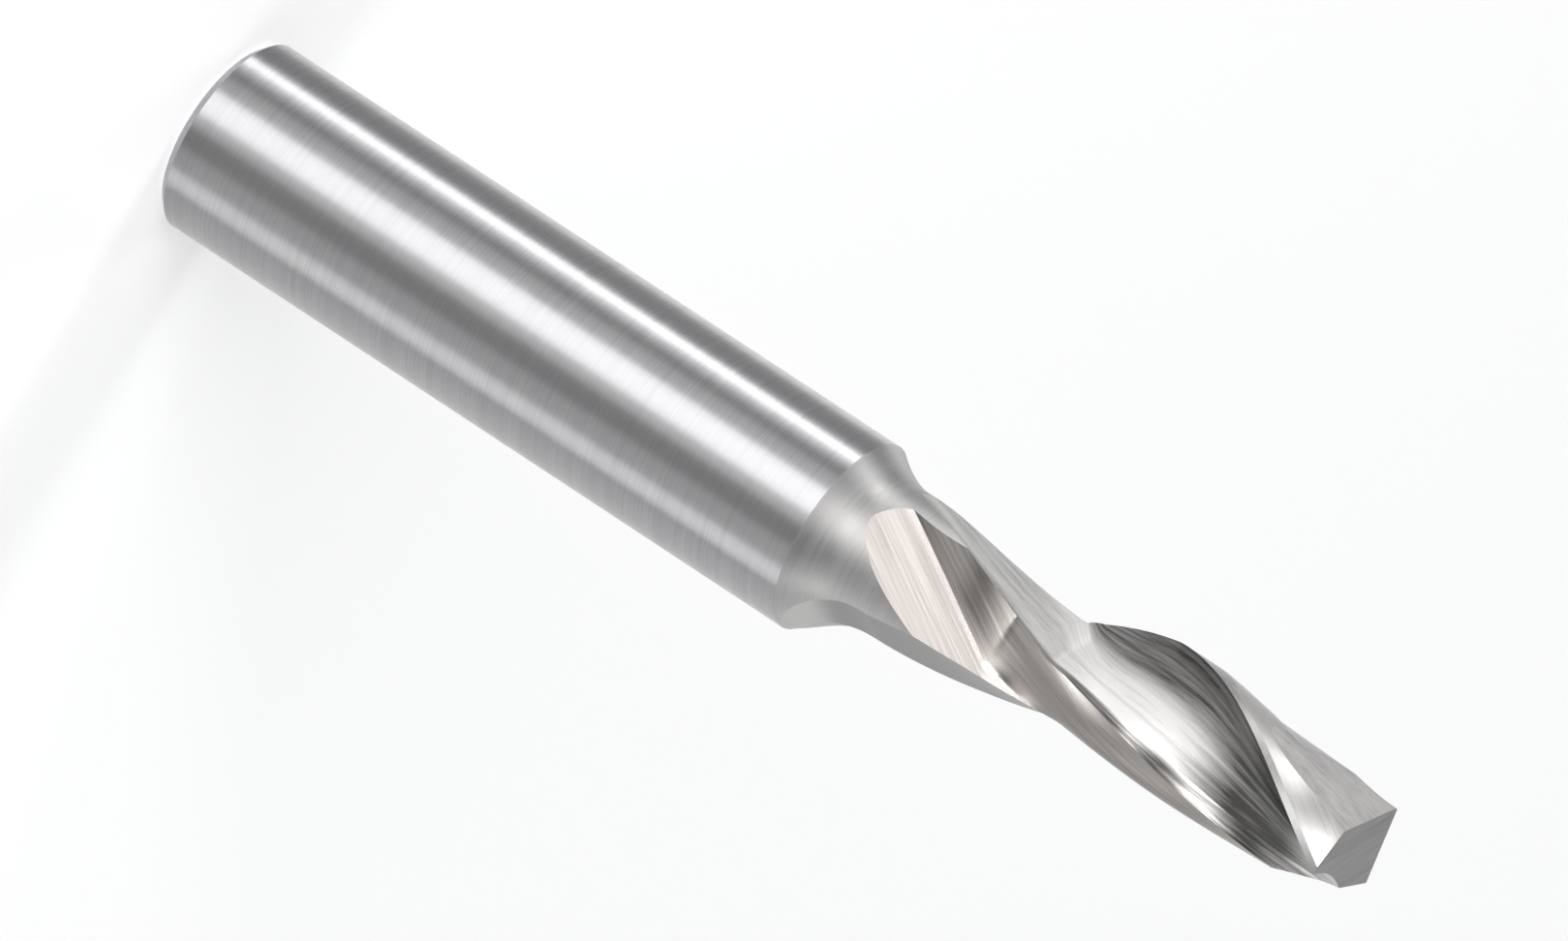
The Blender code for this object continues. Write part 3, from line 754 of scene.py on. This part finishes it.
def ground_cutter():
    """The blank with every cut taken, each cut face in the finish of its wheel."""
    blank = turned_blank()
    wheels = [
        flat("end_wheel", end_place(), END_STEEL),
        flat("heel_wheel", heel_flat_place(), TIP_FLAT_STEEL),
        flat("gash_wheel", gash_place(), TIP_FLAT_STEEL),
        carried("land_wheel", land_rings(), LAND_STEEL),
        carried("outer_back_wheel", outer_back_rings(), RELIEF_STEEL),
        carried("inner_back_wheel", inner_back_rings(), RELIEF_STEEL),
        carried("flute_wheel", flute_rings(), FLUTE_STEEL_PAINTED_LIGHT),
        carried("groove_wheel", groove_rings(), GROOVE_STEEL_PAINTED_SHADE),
    ]
    for wheel in wheels:
        cut = blank.modifiers.new(wheel.name, "BOOLEAN")
        cut.operation = "DIFFERENCE"
        cut.solver = "EXACT"
        cut.material_mode = "TRANSFER"
        cut.object = wheel
    evaluated = blank.evaluated_get(bpy.context.evaluated_depsgraph_get())
    mesh = bpy.data.meshes.new_from_object(evaluated)
    blank.modifiers.clear()
    blank.data = mesh
    for wheel in wheels:
        bpy.data.objects.remove(wheel, do_unlink=True)
    mesh.shade_smooth()
    bm = bmesh.new()
    bm.from_mesh(mesh)
    for edge in bm.edges:
        one, other = edge.link_faces
        same = one.material_index == other.material_index
        sharp_from = math.radians(SHARP_ANGLE if same else FINISH_SHARP_ANGLE)
        edge.smooth = edge.calc_face_angle() < sharp_from
    bm.to_mesh(mesh)
    bm.free()
    return blank


def lamp(name, azimuth, width, height, bottom, radiance, distance=LAMP_DISTANCE):
    """An upright soft lamp that faces the cutter's axis. Its watts follow from its radiance."""
    data = bpy.data.lights.new(name, "AREA")
    data.shape = "RECTANGLE"
    data.size = width
    data.size_y = height
    data.energy = radiance * math.pi * width * height
    made = bpy.data.objects.new(name, data)
    outward = polar(1.0, azimuth)
    made.location = outward * distance + UP * (bottom + height / 2)
    made.rotation_euler = outward.to_track_quat("Z", "Y").to_euler()
    made.visible_camera = False
    bpy.context.scene.collection.objects.link(made)


def floor():
    """Matt white paint: it shows white in a view or a reflection, and keeps the soft shadow."""
    bm = bmesh.new()
    bmesh.ops.create_grid(bm, x_segments=1, y_segments=1, size=FLOOR_REACH)
    material = bpy.data.materials.new("matt_white_paint")
    material.use_nodes = True
    tree = material.node_tree
    shader = tree.nodes["Principled BSDF"]
    shader.inputs["Base Color"].default_value = linear(FLOOR_COLOUR)
    shader.inputs["Roughness"].default_value = FLOOR_ROUGHNESS
    shader.inputs["Emission Color"].default_value = (1.0, 1.0, 1.0, 1.0)
    rays = add(tree, "LightPath").outputs
    seen = rays["Is Camera Ray"]
    for kind in ("Is Glossy Ray", "Is Transmission Ray"):
        seen = add(tree, "Math", {"operation": "MAXIMUM"}, i0=seen, i1=rays[kind]).outputs[0]
    glow = add(tree, "Math", {"operation": "MULTIPLY"}, i0=seen, i1=FLOOR_GLOW).outputs[0]
    tree.links.new(glow, shader.inputs["Emission Strength"])
    new_piece("floor", bm, material)


def air():
    """The even light of the studio."""
    world = bpy.data.worlds.new("studio_air")
    bpy.context.scene.world = world
    world.use_nodes = True
    background = world.node_tree.nodes["Background"].inputs
    background["Color"].default_value = linear(AIR_COLOUR)
    background["Strength"].default_value = AIR_STRENGTH


def camera():
    """The camera of the photograph. The top of its frame points left of the standing cutter."""
    tilt = math.radians(CAMERA_ELEVATION)
    roll = math.radians(CAMERA_ROLL)
    toward = Vector((0.0, -math.cos(tilt), math.sin(tilt)))
    level_up = Vector((0.0, math.sin(tilt), math.cos(tilt)))
    level_right = Vector((1.0, 0.0, 0.0))
    frame_up = level_up * -math.sin(roll) - level_right * math.cos(roll)
    frame_right = level_up * math.cos(roll) - level_right * math.sin(roll)
    turn = Matrix((frame_right, frame_up, toward)).transposed()
    seen_at = Vector(((AXIS_PIXEL[0] - IMAGE_SIZE[0] / 2) / PIXELS_PER_MM * MM,
                      -(AXIS_PIXEL[1] - IMAGE_SIZE[1] / 2) / PIXELS_PER_MM * MM,
                      -CAMERA_DISTANCE))
    data = bpy.data.cameras.new("camera")
    data.lens = FOCAL_LENGTH_MM
    data.sensor_width = SENSOR_WIDTH_MM
    data.clip_start = CLIP_START
    data.clip_end = CLIP_END
    made = bpy.data.objects.new("camera", data)
    bpy.context.scene.collection.objects.link(made)
    place = turn.to_4x4()
    place.translation = UP * AXIS_HEIGHT - turn @ seen_at
    made.matrix_world = place
    bpy.context.scene.camera = made


cutter = ground_cutter()
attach(cutter, "root")
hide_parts("endmill")

for lamp_name, values in LAMPS.items():
    lamp(lamp_name, **values)
floor()
air()
camera()
bpy.context.scene.view_settings.view_transform = "Standard"
